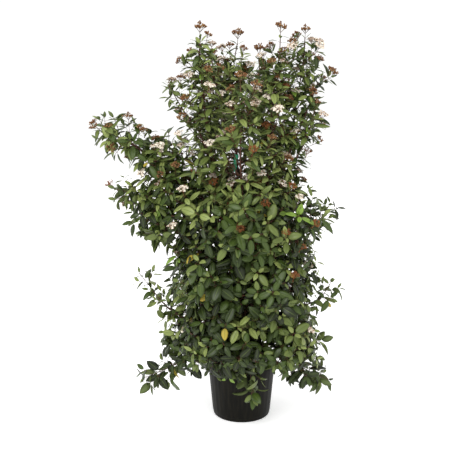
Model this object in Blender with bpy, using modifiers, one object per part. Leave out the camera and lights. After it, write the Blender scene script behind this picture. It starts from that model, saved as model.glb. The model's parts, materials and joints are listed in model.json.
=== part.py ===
"""A laurustinus (Viburnum tinus) in a black nursery pot: pot, compost, stems, boughs and foliage masses.

Metres, +Z up. The pot's flat underside lies on z = 0 and its axis is the Z axis. -Y is the side that the
photograph shows and +X its right. The stems stand in the compost and the pot stands on the floor.
"""
import math
import random

import bmesh
import bpy
from mathutils import Matrix, Vector, noise
from mathutils.bvhtree import BVHTree

# Pot and compost
POT_HEIGHT = 0.270
POT_TOP_RADIUS = 0.152
POT_BASE_RADIUS = 0.127
POT_WALL = 0.0022
POT_SEGMENTS = 36
RIM_HEIGHT = 0.014
RIM_OVERHANG = 0.005
FOOT_ROUNDING = 0.012
DRAIN_HOLES = 8
DRAIN_RADIUS = 0.007
DRAIN_CIRCLE = 0.100
COMPOST_TOP = 0.238
COMPOST_BEVEL = 0.004
FIT_GAP = 0.0006

# Stems and boughs
LIMB_ROUNDNESS = 2
STEM_STEPS = 9
BOUGH_STEPS = 3
FLARE_HEIGHT = 0.045
FLARE_EXTRA = 0.45
STEM_TOP = 1.330
STEM_KNEE = 0.980
STEM_TAPER = 0.45
FORK_RISE = 50.0
FORK_LENGTH = 0.22
FORK_THICKNESS = 0.0042
BOUGH_TAPER = 0.40
CORE_RADIUS = 0.082
RUN_SAMPLES = 160
SHORTEST_RUN = 0.015

# Foliage
MASS_GAP = 0.002
ENTRY_GAP = 0.0015
OVER_RIM = 0.004
SPRAY_GAP = 0.022
LUMP = 0.36
LUMP_PITCH = 9.0
SPIRE_TAPER = 0.38
NEIGHBOUR_REACH = 1.3
SHAPE_SEED = 11
MASS_GRID = (14, 9)
SPRAY_GRID = (11, 7)

# Tiers of lobes round the stems:
# name, lobes, bearing of the first, height, distance from the axis, half sizes outward, across and up
TIERS = (
    ("skirt", 5, -108.0, 0.395, 0.205, (0.175, 0.180, 0.165)),
    ("waist", 5, -56.0, 0.650, 0.190, (0.170, 0.175, 0.180)),
    ("shoulder", 5, -95.0, 0.915, 0.185, (0.170, 0.175, 0.180)),
    ("collar", 4, -72.0, 1.170, 0.155, (0.140, 0.155, 0.185)),
)

# Spires round the leading shoots:
# name, x and y of the middle, lean to +X, lowest and highest point, half width and half depth
SPIRES = (
    ("left", -0.172, -0.050, -0.013, 1.190, 1.725, 0.100, 0.102),
    ("middle", -0.035, 0.040, 0.007, 1.220, 1.695, 0.102, 0.102),
    ("right", 0.135, -0.070, 0.022, 1.220, 1.725, 0.084, 0.098),
    ("far_right", 0.238, 0.030, 0.034, 1.210, 1.725, 0.082, 0.108),
    ("back", 0.080, 0.210, 0.000, 1.250, 1.610, 0.120, 0.105),
    ("back_left", -0.125, 0.200, -0.010, 1.250, 1.590, 0.110, 0.100),
    ("front", -0.010, -0.190, 0.000, 1.220, 1.500, 0.105, 0.085),
)

# Masses beside the tiers that touch their neighbours: the wing to the left and the skirts' low ends
# name, middle, half sizes, tilt in degrees of the end at +X
WINGS = (
    ("right_flank", (0.292, -0.050, 1.320), (0.053, 0.080, 0.095), 0.0),
    ("wing_tip", (-0.565, -0.010, 1.240), (0.105, 0.070, 0.055), 6.0),
    ("wing", (-0.450, 0.000, 1.185), (0.115, 0.075, 0.095), 20.0),
    ("wing_root", (-0.320, 0.010, 1.105), (0.120, 0.095, 0.095), 35.0),
    ("low_wing", (-0.500, -0.030, 1.040), (0.112, 0.075, 0.072), 0.0),
    ("low_wing_root", (-0.375, -0.030, 0.935), (0.115, 0.095, 0.145), 30.0),
    ("foot_left", (-0.315, -0.060, 0.200), (0.150, 0.100, 0.055), 0.0),
    ("foot_right", (0.285, -0.060, 0.190), (0.125, 0.105, 0.058), 0.0),
)

# Sprays that stand off from the rest on a bough of their own: name, middle, half sizes, tilt
SPRAYS = (
    ("upper_left", (-0.292, -0.020, 1.410), (0.055, 0.068, 0.072), 35.0),
    ("upper_right", (0.350, -0.020, 1.510), (0.038, 0.065, 0.075), -20.0),
    ("right_sprig", (0.372, -0.010, 0.925), (0.028, 0.050, 0.060), 0.0),
    ("right_tip", (0.378, -0.010, 0.565), (0.033, 0.060, 0.070), 0.0),
    ("side_branch", (-0.420, -0.020, 0.585), (0.065, 0.070, 0.100), -20.0),
)

# Stems: bearing and distance of the foot, bearing and distance at the top, radius at the foot
STEMS = (
    (-80.0, 0.038, -88.0, 0.200, 0.0075),
    (-25.0, 0.042, -27.0, 0.170, 0.0085),
    (20.0, 0.046, 6.0, 0.280, 0.0085),
    (72.0, 0.044, 68.0, 0.230, 0.0080),
    (130.0, 0.012, 130.0, 0.055, 0.0090),
    (150.0, 0.050, 124.0, 0.240, 0.0075),
    (205.0, 0.044, 196.0, 0.190, 0.0085),
)
FORK_HEIGHTS = (0.430, 0.700, 0.340, 0.330)

# Boughs that show in the gaps between masses: name, start, knee, end, radius at the start
BOUGHS = (
    ("upper_left", (-0.190, -0.030, 1.290), (-0.250, -0.030, 1.360), (-0.300, -0.020, 1.430), 0.0030),
    ("upper_right", (0.235, 0.010, 1.380), (0.300, -0.010, 1.440), (0.355, -0.020, 1.520), 0.0030),
    ("right_sprig", (0.260, -0.020, 0.860), (0.340, -0.015, 0.880), (0.375, -0.010, 0.930), 0.0025),
    ("right_tip", (0.260, -0.010, 0.500), (0.340, -0.010, 0.520), (0.390, -0.010, 0.570), 0.0028),
    ("side_branch", (-0.240, -0.020, 0.430), (-0.320, -0.020, 0.480), (-0.420, -0.020, 0.600), 0.0035),
)


def clear_scene():
    """Empties the file of objects left from before."""
    for left in list(bpy.data.objects):
        bpy.data.objects.remove(left, do_unlink=True)


def collection(name):
    """A new collection in the scene."""
    made = bpy.data.collections.new(name)
    bpy.context.scene.collection.children.link(made)
    return made


def material(name, colour, roughness):
    """A plain material with a base colour and a roughness."""
    made = bpy.data.materials.new(name)
    made.use_nodes = True
    shader = made.node_tree.nodes["Principled BSDF"]
    shader.inputs["Base Color"].default_value = (*colour, 1.0)
    shader.inputs["Roughness"].default_value = roughness
    made.diffuse_color = (*colour, 1.0)
    return made


def object_from(bm, name, home, finish):
    """Turns a bmesh into a named object with one material."""
    bmesh.ops.recalc_face_normals(bm, faces=bm.faces[:])
    mesh = bpy.data.meshes.new(name)
    bm.to_mesh(mesh)
    bm.free()
    mesh.materials.append(finish)
    made = bpy.data.objects.new(name, mesh)
    home.objects.link(made)
    return made


def polar(bearing, out, height):
    """A point at a bearing in degrees from +X, a distance from the axis and a height."""
    turn = math.radians(bearing)
    return Vector((out * math.cos(turn), out * math.sin(turn), height))


# Pot and compost


def revolved(name, profile, home, finish):
    """A solid of revolution about Z from (radius, height) pairs that start and end on the axis."""
    mesh = bpy.data.meshes.new(name)
    points = [(r, 0.0, z) for r, z in profile]
    mesh.from_pydata(points, [(i, i + 1) for i in range(len(points) - 1)], [])
    mesh.materials.append(finish)
    made = bpy.data.objects.new(name, mesh)
    home.objects.link(made)
    turn = made.modifiers.new("turn", "SCREW")
    turn.axis = "Z"
    turn.angle = 2.0 * math.pi
    turn.steps = POT_SEGMENTS
    turn.render_steps = POT_SEGMENTS
    turn.use_merge_vertices = True
    turn.merge_threshold = 0.00005
    turn.use_smooth_shade = True
    return made


def wall_radius(height):
    """Outside radius of the pot's tapered wall at a height."""
    return POT_BASE_RADIUS + (POT_TOP_RADIUS - POT_BASE_RADIUS) * height / POT_HEIGHT


def foot_curve(radius, turns):
    """Points of the pot's rounded foot, on an arc of this radius, at these turns from straight down."""
    middle = wall_radius(0.0) - FOOT_ROUNDING
    return [(middle + radius * math.sin(turn), FOOT_ROUNDING - radius * math.cos(turn))
            for turn in (math.radians(t) for t in turns)]


def pot(home, tools, finish):
    """Tapered pot with a thin wall, a turned-out rim, a rounded foot and drain holes in the base."""
    rim_foot = POT_HEIGHT - RIM_HEIGHT
    rim_out = wall_radius(POT_HEIGHT) + RIM_OVERHANG
    profile = [(0.0, POT_WALL)]
    profile += foot_curve(FOOT_ROUNDING - POT_WALL, (0.0, 45.0, 90.0))
    profile += [
        (wall_radius(POT_HEIGHT) - POT_WALL, POT_HEIGHT),
        (rim_out - POT_WALL, POT_HEIGHT),
        (rim_out, POT_HEIGHT - POT_WALL),
        (rim_out, rim_foot),
        (wall_radius(rim_foot), rim_foot),
    ]
    profile += foot_curve(FOOT_ROUNDING, (90.0, 60.0, 30.0, 0.0))
    profile += [(0.0, 0.0)]
    made = revolved("pot", profile, home, finish)
    drill = bmesh.new()
    for hole in range(DRAIN_HOLES):
        place = Matrix.Translation(polar(360.0 * (hole + 0.5) / DRAIN_HOLES, DRAIN_CIRCLE, 0.0))
        bmesh.ops.create_cone(drill, cap_ends=True, segments=10, radius1=DRAIN_RADIUS,
                              radius2=DRAIN_RADIUS, depth=8.0 * POT_WALL, matrix=place)
    cutter = object_from(drill, "drain_cutter", tools, finish)
    cutter.hide_render = True
    cutter.display_type = "WIRE"
    cut = made.modifiers.new("drains", "BOOLEAN")
    cut.operation = "DIFFERENCE"
    cut.solver = "EXACT"
    cut.object = cutter
    return made


def compost(home, finish):
    """The plug of compost that fills the pot to a little under its rim."""
    inset = POT_WALL + 2.0 * FIT_GAP
    low = POT_WALL + FIT_GAP
    profile = [
        (0.0, COMPOST_TOP),
        (wall_radius(COMPOST_TOP) - inset - COMPOST_BEVEL, COMPOST_TOP),
        (wall_radius(COMPOST_TOP) - inset, COMPOST_TOP - COMPOST_BEVEL),
        (wall_radius(2.0 * FOOT_ROUNDING) - inset, 2.0 * FOOT_ROUNDING),
        (wall_radius(0.0) - FOOT_ROUNDING, low),
        (0.0, low),
    ]
    return revolved("compost", profile, home, finish)


# Foliage masses


def egg(name, kind, middle, half, tilt=0.0, turn=0.0, lean=0.0):
    """The sizes of one mass: its kind, place and half sizes, its tilt, turn about Z and lean to +X."""
    place = Matrix.Rotation(math.radians(turn), 3, "Z") @ Matrix.Rotation(math.radians(tilt), 3, "Y")
    return {"name": "foliage_" + name, "kind": kind, "middle": Vector(middle), "half": Vector(half),
            "place": place, "bearing": turn, "lean": lean}


def planned_masses():
    """All foliage masses: four tiers of lobes round the stems, the spires above, the sprays beside."""
    dice = random.Random(SHAPE_SEED)
    masses = []
    for tier, count, first, height, ring, half in TIERS:
        for lobe in range(count):
            bearing = first + 360.0 * lobe / count
            middle = polar(bearing, ring * dice.uniform(0.93, 1.05), height + dice.uniform(-0.03, 0.03))
            size = [side * dice.uniform(0.94, 1.06) for side in half]
            masses.append(egg(f"{tier}_{lobe + 1}", "lobe", middle, size, turn=bearing))
    for name, x, y, lean, low, high, wide, deep in SPIRES:
        half = (wide, deep, (high - low) / 2.0)
        masses.append(egg("spire_" + name, "spire", (x, y, (low + high) / 2.0), half, lean=lean))
    for kind, listed in (("wing", WINGS), ("spray", SPRAYS)):
        for name, middle, half, tilt in listed:
            masses.append(egg(name, kind, middle, half, tilt=tilt))
    return masses


def reach(mass, way):
    """How far a mass's even outline goes from its middle in a direction."""
    local = mass["place"].transposed() @ way
    return math.sqrt(sum((size * part) ** 2 for size, part in zip(mass["half"], local)))


def uneven(mass, seed):
    """The blob of a mass before it is cut: an egg with swellings of its own."""
    bm = bmesh.new()
    around, rows = MASS_GRID if mass["kind"] in ("lobe", "spire") else SPRAY_GRID
    bmesh.ops.create_uvsphere(bm, u_segments=around, v_segments=rows, radius=1.0)
    offset = Vector((3.7, -2.9, 1.3)) * seed
    half = mass["half"]
    taper = SPIRE_TAPER if mass["kind"] == "spire" else 0.0
    for vert in bm.verts:
        spot = Vector(size * part for size, part in zip(half, vert.co))
        swell = 1.0 + LUMP * noise.noise(spot * LUMP_PITCH + offset)
        narrow = 1.0 - taper * vert.co.z
        upward = vert.co.z if taper else vert.co.z * swell
        shaped = Vector((vert.co.x * swell * narrow * half.x + mass["lean"] * vert.co.z,
                         vert.co.y * swell * narrow * half.y, upward * half.z))
        vert.co = mass["middle"] + mass["place"] @ shaped
    return bm


def slice_off(bm, point, way):
    """Cuts a mass flat at a plane, throws away what is beyond it and closes the cut."""
    parts = bm.verts[:] + bm.edges[:] + bm.faces[:]
    bmesh.ops.bisect_plane(bm, geom=parts, dist=0.00002, plane_co=point, plane_no=way, clear_outer=True)
    rim = [edge for edge in bm.edges if edge.is_boundary]
    if rim:
        bmesh.ops.holes_fill(bm, edges=rim, sides=0)


def slice_off_pot(bm, mass):
    """Keeps a low mass clear of the pot: above its rim, or outside its wall."""
    middle = mass["middle"]
    if middle.z > POT_HEIGHT:
        slice_off(bm, Vector((0.0, 0.0, POT_HEIGHT + OVER_RIM)), Vector((0.0, 0.0, -1.0)))
    else:
        side = Vector((middle.x, middle.y, 0.0)).normalized()
        slice_off(bm, side * (POT_TOP_RADIUS + RIM_OVERHANG + OVER_RIM), -side)


def foliage(home, finish):
    """The masses, cut from each other part of the way between neighbours and open round the stems."""
    masses = planned_masses()
    made = []
    for seed, mass in enumerate(masses, 1):
        bm = uneven(mass, seed)
        for other in masses:
            between = other["middle"] - mass["middle"]
            way = between.normalized()
            mine, theirs = reach(mass, way), reach(other, way)
            if other is mass or (mine + theirs) * NEIGHBOUR_REACH < between.length:
                continue
            gap = SPRAY_GAP if "spray" in (mass["kind"], other["kind"]) else MASS_GAP
            edge = between.length * mine / (mine + theirs) - gap / 2.0
            slice_off(bm, mass["middle"] + way * edge, way)
        if mass["kind"] == "lobe":
            out = polar(mass["bearing"], 1.0, 0.0)
            slice_off(bm, out * CORE_RADIUS, -out)
        if mass["middle"].z < 2.0 * POT_HEIGHT:
            slice_off_pot(bm, mass)
        bmesh.ops.remove_doubles(bm, verts=bm.verts[:], dist=0.0001)
        bmesh.ops.triangulate(bm, faces=[face for face in bm.faces if len(face.verts) > 3])
        made.append(object_from(bm, mass["name"], home, finish))
    return made


# Stems and boughs


def curve(points, samples):
    """Even steps along the smooth curve that a control polygon draws."""
    found = []
    for i in range(samples + 1):
        work = [Vector(point) for point in points]
        while len(work) > 1:
            work = [a.lerp(b, i / samples) for a, b in zip(work[:-1], work[1:])]
        found.append(work[0])
    return found


def limb(name, path, radii, home, finish):
    """A tapering limb with flat ends, through points with a radius at each."""
    drawn = bpy.data.curves.new(name, "CURVE")
    drawn.dimensions = "3D"
    drawn.bevel_depth = 1.0
    drawn.bevel_resolution = LIMB_ROUNDNESS
    drawn.use_fill_caps = True
    line = drawn.splines.new("POLY")
    line.points.add(len(path) - 1)
    for spot, point, radius in zip(line.points, path, radii):
        spot.co = (*point, 1.0)
        spot.radius = radius
    drawn.materials.append(finish)
    made = bpy.data.objects.new(name, drawn)
    home.objects.link(made)
    return made


def is_inside(tree, point):
    """Whether a point is inside a solid: a line from it goes through the skin an odd number of times."""
    way = Vector((0.36, 0.48, 0.80))
    crossings = 0
    spot = point
    while spot is not None:
        spot = tree.ray_cast(spot + way * 0.00001, way)[0]
        crossings += spot is not None
    return crossings % 2 == 1


def is_clear(trees, point, radius):
    """Whether a ball round a point touches none of these solids and is outside them all."""
    for tree in trees:
        if tree.find_nearest(point)[3] < radius or is_inside(tree, point):
            return False
    return True


def longest_run(path, trees, radius):
    """The longest stretch of a path that is clear of these solids."""
    best, run = [], []
    for point in path:
        run = run + [point] if is_clear(trees, point, radius) else []
        best = run if len(run) > len(best) else best
    return best


def thinned(path, steps):
    """A path with this many steps, both ends kept."""
    return [path[round(i * (len(path) - 1) / steps)] for i in range(steps + 1)]


def stem_path(foot_bearing, foot_out, top_bearing, top_out):
    """The whole curve of a stem, from the compost up to the height where the spires begin."""
    foot = polar(foot_bearing, foot_out, COMPOST_TOP + FIT_GAP)
    knee = polar(foot_bearing, foot_out * 1.15, STEM_KNEE)
    top = polar(top_bearing, top_out, STEM_TOP)
    return curve((foot, foot.lerp(knee, 0.5), knee, top), RUN_SAMPLES)


def stem_radius(thick, height):
    """Radius of a stem at a height: a flare at the compost, then an even taper."""
    up = (height - COMPOST_TOP) / (STEM_TOP - COMPOST_TOP)
    flare = max(0.0, 1.0 - (height - COMPOST_TOP) / FLARE_HEIGHT)
    return thick * (1.0 - STEM_TAPER * up) * (1.0 + FLARE_EXTRA * flare * flare)


def stems(home, finish, masses):
    """The clump of stems, each from a flat cut on the compost to where it enters a mass."""
    trees = search_trees(masses)
    made, paths = [], []
    for i, (foot_bearing, foot_out, top_bearing, top_out, thick) in enumerate(STEMS, 1):
        path = stem_path(foot_bearing, foot_out, top_bearing, top_out)
        path = thinned(longest_run(path, trees, thick + ENTRY_GAP), STEM_STEPS)
        path.insert(1, path[0] + Vector((0.0, 0.0, FLARE_HEIGHT / 3.0)))
        radii = [stem_radius(thick, point.z) for point in path]
        made.append(limb(f"stem_{i}", path, radii, home, finish))
        paths.append(path)
    return made, paths


def search_trees(objects):
    """Search trees of finished objects."""
    graph = bpy.context.evaluated_depsgraph_get()
    return [BVHTree.FromObject(item, graph) for item in objects]


def forks(home, finish, masses, clump, paths):
    """One bough from each stem, from the stem's side up to the lobe beside it."""
    trees = search_trees(masses + clump)
    rise = math.radians(FORK_RISE)
    for i, (path, height) in enumerate(zip(paths, FORK_HEIGHTS), 1):
        above = [point for point in path if point.z > height] or path[-1:]
        below = [point for point in path if point.z <= height][-1]
        part = (height - below.z) / max(above[0].z - below.z, 0.001)
        start = below.lerp(above[0], min(part, 1.0))
        outward = Vector((start.x, start.y, 0.0)).normalized()
        way = outward * math.cos(rise) + Vector((0.0, 0.0, math.sin(rise)))
        run = longest_run([start + way * FORK_LENGTH * s / RUN_SAMPLES for s in range(RUN_SAMPLES + 1)],
                          trees, FORK_THICKNESS + ENTRY_GAP)
        if len(run) > 1 and (run[-1] - run[0]).length > SHORTEST_RUN:
            steps = thinned(run, BOUGH_STEPS)
            radii = [FORK_THICKNESS * (1.0 - BOUGH_TAPER * s / BOUGH_STEPS) for s in range(BOUGH_STEPS + 1)]
            limb(f"bough_fork_{i}", steps, radii, home, finish)


def side_boughs(home, finish, masses):
    """The boughs that carry the side sprays, where they cross from one mass to the next."""
    trees = search_trees(masses)
    for name, start, knee, end, thick in BOUGHS:
        run = longest_run(curve((start, knee, end), RUN_SAMPLES), trees, thick + ENTRY_GAP)
        if len(run) > 1 and (run[-1] - run[0]).length > SHORTEST_RUN:
            steps = thinned(run, BOUGH_STEPS)
            radii = [thick * (1.0 - BOUGH_TAPER * s / BOUGH_STEPS) for s in range(BOUGH_STEPS + 1)]
            limb("bough_" + name, steps, radii, home, finish)


def build():
    """Makes the pot and all that grows in it."""
    clear_scene()
    home = collection("potted_laurustinus")
    tools = collection("cutters")
    pot(home, tools, material("pot_plastic", (0.013, 0.012, 0.011), 0.5))
    compost(home, material("compost", (0.035, 0.022, 0.014), 0.95))
    bark = material("bark", (0.12, 0.065, 0.04), 0.8)
    masses = foliage(home, material("foliage", (0.055, 0.115, 0.03), 0.6))
    clump, paths = stems(home, bark, masses)
    forks(home, bark, masses, clump, paths)
    side_boughs(home, bark, masses)


build()
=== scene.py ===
import json
import math
import random

import bmesh
import bpy
import numpy as np
from mathutils import Matrix, Vector, noise
from mathutils.bvhtree import BVHTree

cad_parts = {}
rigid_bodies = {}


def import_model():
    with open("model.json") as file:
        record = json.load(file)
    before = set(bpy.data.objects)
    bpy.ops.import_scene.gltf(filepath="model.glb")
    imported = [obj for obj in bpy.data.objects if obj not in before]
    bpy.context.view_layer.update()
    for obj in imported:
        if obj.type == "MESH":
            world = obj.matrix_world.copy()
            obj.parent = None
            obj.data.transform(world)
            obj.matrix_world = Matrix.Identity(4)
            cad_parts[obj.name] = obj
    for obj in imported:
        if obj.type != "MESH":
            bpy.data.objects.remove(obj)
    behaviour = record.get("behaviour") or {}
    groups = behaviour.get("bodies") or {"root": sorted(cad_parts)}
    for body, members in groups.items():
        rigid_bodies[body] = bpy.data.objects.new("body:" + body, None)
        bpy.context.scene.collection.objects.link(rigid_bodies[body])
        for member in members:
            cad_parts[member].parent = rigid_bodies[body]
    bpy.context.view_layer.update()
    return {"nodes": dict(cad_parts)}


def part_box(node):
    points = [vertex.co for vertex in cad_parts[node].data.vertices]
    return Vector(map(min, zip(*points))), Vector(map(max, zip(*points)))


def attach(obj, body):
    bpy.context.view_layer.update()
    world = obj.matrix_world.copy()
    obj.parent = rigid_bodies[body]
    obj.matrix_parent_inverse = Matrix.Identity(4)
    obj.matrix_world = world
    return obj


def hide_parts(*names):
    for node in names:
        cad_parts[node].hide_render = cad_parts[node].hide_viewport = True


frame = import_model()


# Nursery pot
# A thin black polypropylene container, moulded in one piece with a rolled lip, shallow upright
# flutes, a small step above the foot and eight drain holes in its floor. The plant stands in it.
def linear(hex_colour):
    """The colour of an sRGB hex value as a shader takes it."""
    parts = [int(hex_colour[i:i + 2], 16) / 255 for i in (1, 3, 5)]
    return tuple(p / 12.92 if p <= 0.04045 else ((p + 0.055) / 1.055) ** 2.4 for p in parts) + (1.0,)


def add(tree, kind, inputs=None, **settings):
    """Adds one shader node. An input is a value, or another node's output to link."""
    new = tree.nodes.new("ShaderNode" + kind)
    for name, value in settings.items():
        setattr(new, name, value)
    for name, value in (inputs or {}).items():
        if isinstance(value, bpy.types.NodeSocket):
            tree.links.new(value, new.inputs[name])
        else:
            new.inputs[name].default_value = value
    return new


def finish_named(name, **surface):
    """A material with a Principled surface; its tree and its shader come back with it."""
    made = bpy.data.materials.new(name)
    made.use_nodes = True
    shader = made.node_tree.nodes["Principled BSDF"]
    for socket, value in surface.items():
        shader.inputs[socket.replace("_", " ")].default_value = value
    return made, made.node_tree, shader


def linked(name, data):
    """A new object in the scene, at the origin."""
    made = bpy.data.objects.new(name, data)
    bpy.context.scene.collection.objects.link(made)
    return made


def mesh_from(bm, name):
    """A mesh with a bmesh's shape; the bmesh is then let go."""
    mesh = bpy.data.meshes.new(name)
    bm.to_mesh(mesh)
    bm.free()
    return mesh


def piece_from(bm, name, finish):
    """A smoothly shaded piece that rides on the plant's one body."""
    for face in bm.faces:
        face.smooth = True
    piece = linked(name, mesh_from(bm, name))
    piece.data.materials.append(finish)
    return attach(piece, "root")


def settled(piece):
    """The mesh of an object with its modifiers, or a curve's thickness, worked out."""
    bpy.context.view_layer.update()
    return bpy.data.meshes.new_from_object(piece.evaluated_get(bpy.context.evaluated_depsgraph_get()))


def turned(profile, steps):
    """Spins a profile of (radius, height) points round the upright axis into a closed skin."""
    bm = bmesh.new()
    verts = [bm.verts.new((radius, 0.0, height)) for radius, height in profile]
    edges = [bm.edges.new(pair) for pair in zip(verts, verts[1:])]
    bmesh.ops.spin(bm, geom=verts + edges, cent=(0, 0, 0), axis=(0, 0, 1), angle=math.tau,
                   steps=steps, use_merge=True)
    bmesh.ops.remove_doubles(bm, verts=bm.verts, dist=0.00002)
    bmesh.ops.recalc_face_normals(bm, faces=bm.faces)
    return bm


POT_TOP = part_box("pot")[1].z
LIP_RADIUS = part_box("pot")[1].x
POT_STEPS = 192
WALL_FOOT = 0.022
WALL_RISE = POT_TOP - 0.040
WALL_ROWS = 12
WALL_FOOT_RADIUS = 0.1300
WALL_FLARE = 0.0215
WALL_THICKNESS = 0.0024
FLUTES = 32
FLUTE_DEPTH = 0.0004
FLUTE_FADE = 0.02
FLUTES_STOP = POT_TOP - 0.020
FLOOR_RADIUS = 0.12
DRAIN_HOLES = 8
DRAIN_RADIUS = 0.007
DRAIN_CIRCLE = 0.100
DRILL_LENGTH = 0.02

# The pot's section, as (radius, height) points from the middle of its underside, up the outside,
# over the lip and down the inside to the middle of its floor.
foot = [(0.0, 0.0012), (0.088, 0.0012), (0.110, 0.0010), (0.1125, 0.0), (0.1185, 0.0),
        (0.1225, 0.0010), (0.1255, 0.0036), (0.1272, 0.0078), (0.1280, 0.0130), (0.1284, 0.0175),
        (0.1294, 0.0195)]
outer_wall = [(WALL_FOOT_RADIUS + WALL_FLARE * i / WALL_ROWS, WALL_FOOT + WALL_RISE * i / WALL_ROWS)
              for i in range(WALL_ROWS + 1)]
rolled_lip = [(0.1522, POT_TOP - 0.0150)]
rolled_lip += [(LIP_RADIUS - inwards, POT_TOP - down) for inwards, down in (
    (0.0012, 0.0142), (0.0002, 0.0130), (0.0, 0.0040), (0.0010, 0.0012), (0.0032, 0.0),
    (0.0058, 0.0006), (0.0070, 0.0030))]
inner_wall = [(radius - WALL_THICKNESS, height) for radius, height in reversed(outer_wall)]
inside_floor = [(0.1262, 0.0180), (0.1240, 0.0080), (0.1190, 0.0040), (0.0, 0.0036)]
bm = turned(foot + outer_wall + rolled_lip + inner_wall + inside_floor, POT_STEPS)
for v in bm.verts:
    out = math.hypot(v.co.x, v.co.y)
    fade = min(1.0, (v.co.z - WALL_FOOT) / FLUTE_FADE, (FLUTES_STOP - v.co.z) / FLUTE_FADE)
    if fade > 0 and out > FLOOR_RADIUS:
        v.co.xy *= 1 + FLUTE_DEPTH / out * fade * math.cos(FLUTES * math.atan2(v.co.y, v.co.x))

# Moulded polypropylene: a dull sheen, dusty in upright streaks where water has run down. The
# streaks are about 10 mm wide and the moulded grain about 1 mm, as coarse as shows in a picture.
plastic, tree, shader = finish_named(
    "moulded_black_polypropylene", Roughness=0.5, IOR=1.49, Specular_IOR_Level=0.10)
place = add(tree, "TexCoord")
streaks = add(tree, "Mapping", {"Vector": place.outputs["Object"], "Scale": (1.0, 1.0, 0.08)})
dust = add(tree, "TexNoise", {"Vector": streaks.outputs["Vector"], "Scale": 95.0, "Detail": 4.0})
share = add(tree, "MapRange", {"Value": dust.outputs[0], "From Min": 0.42, "From Max": 0.78})
tint = add(tree, "Mix", {0: share.outputs[0], 6: linear("#0b0a06"), 7: linear("#1d1a12")},
           data_type="RGBA")
grain = add(tree, "TexNoise", {"Vector": place.outputs["Object"], "Scale": 900.0, "Detail": 2.0})
bump = add(tree, "Bump", {"Height": grain.outputs[0], "Strength": 0.25, "Distance": 0.0004})
tree.links.new(tint.outputs[2], shader.inputs["Base Color"])
tree.links.new(bump.outputs["Normal"], shader.inputs["Normal"])
pot = piece_from(bm, "nursery_pot", plastic)

drill_bm = bmesh.new()
for i in range(DRAIN_HOLES):
    bearing = math.tau * i / DRAIN_HOLES
    spot = Vector((math.cos(bearing), math.sin(bearing), 0.0)) * DRAIN_CIRCLE
    bmesh.ops.create_cone(drill_bm, cap_ends=True, segments=24, radius1=DRAIN_RADIUS,
                          radius2=DRAIN_RADIUS, depth=DRILL_LENGTH,
                          matrix=Matrix.Translation(spot))
drill = linked("drill", mesh_from(drill_bm, "drill"))
cut = pot.modifiers.new("drain_holes", "BOOLEAN")
cut.object = drill
cut.solver = "FAST"
pot.data = settled(pot)
pot.modifiers.clear()
bpy.data.objects.remove(drill)
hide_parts("pot")


# Compost
# Dark peaty potting compost that fills the pot to about 3 cm below its lip, uneven on top and
# strewn with crumbs of composted bark.
SEED = 20
COMPOST_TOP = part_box("compost")[1].z
COMPOST_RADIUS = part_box("compost")[1].x
BED_RINGS = 30
BED_STEPS = 96
CLOD_HEIGHT = 0.006
CLODS_PER_METRE = 26.0
CRUMBS = 420
CRUMB_SIZES = (0.0016, 0.0048)


def template(bm):
    """A shape to be repeated, as arrays, with its faces' material numbers."""
    bm.verts.index_update()
    shape = {
        "points": np.array([v.co for v in bm.verts], float).reshape(-1, 3),
        "corners": np.array([v.index for f in bm.faces for v in f.verts], int),
        "sizes": np.array([len(f.verts) for f in bm.faces], int),
        "slots": np.array([f.material_index for f in bm.faces], int),
    }
    bm.free()
    return shape


def joined(name, parts, finishes):
    """One object from many parts, each (points of every copy, template, slots of every copy)."""
    points, corners, sizes, slots, start = [], [], [], [], 0
    for copies, shape, numbers in parts:
        count, each = copies.shape[:2]
        points.append(copies.reshape(-1, 3))
        first = start + np.arange(count) * each
        corners.append((first[:, None] + shape["corners"][None, :]).ravel())
        sizes.append(np.tile(shape["sizes"], count))
        slots.append(numbers.ravel())
        start += count * each
    points, corners = np.concatenate(points), np.concatenate(corners)
    sizes, slots = np.concatenate(sizes), np.concatenate(slots)
    mesh = bpy.data.meshes.new(name)
    mesh.vertices.add(len(points))
    mesh.vertices.foreach_set("co", points.astype(np.float32).ravel())
    mesh.loops.add(len(corners))
    mesh.loops.foreach_set("vertex_index", corners.astype(np.int32))
    mesh.polygons.add(len(sizes))
    mesh.polygons.foreach_set("loop_start", (np.cumsum(sizes) - sizes).astype(np.int32))
    for finish in finishes:
        mesh.materials.append(finish)
    mesh.polygons.foreach_set("material_index", slots.astype(np.int32))
    mesh.polygons.foreach_set("use_smooth", np.full(len(sizes), True))
    mesh.update(calc_edges=True)
    piece = linked(name, mesh)
    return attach(piece, "root")


def placed(shape, turns, spots):
    """Copies of a template, each turned and scaled by its own matrix and moved to its spot."""
    copies = np.einsum("nij,mj->nmi", turns, shape["points"]) + spots[:, None, :]
    return copies, shape, np.tile(shape["slots"], (len(spots), 1))


rng = random.Random(SEED)
bed_profile = [(COMPOST_RADIUS * i / BED_RINGS, COMPOST_TOP - 0.004) for i in range(BED_RINGS + 1)]
bed_profile += [(0.136, 0.150), (0.124, 0.040), (0.0, 0.040)]
bm = turned(bed_profile, BED_STEPS)
for v in bm.verts:
    if v.co.z > COMPOST_TOP - 0.01:
        v.co.z += CLOD_HEIGHT * noise.fractal(v.co * CLODS_PER_METRE, 1.0, 2.0, 4)

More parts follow.
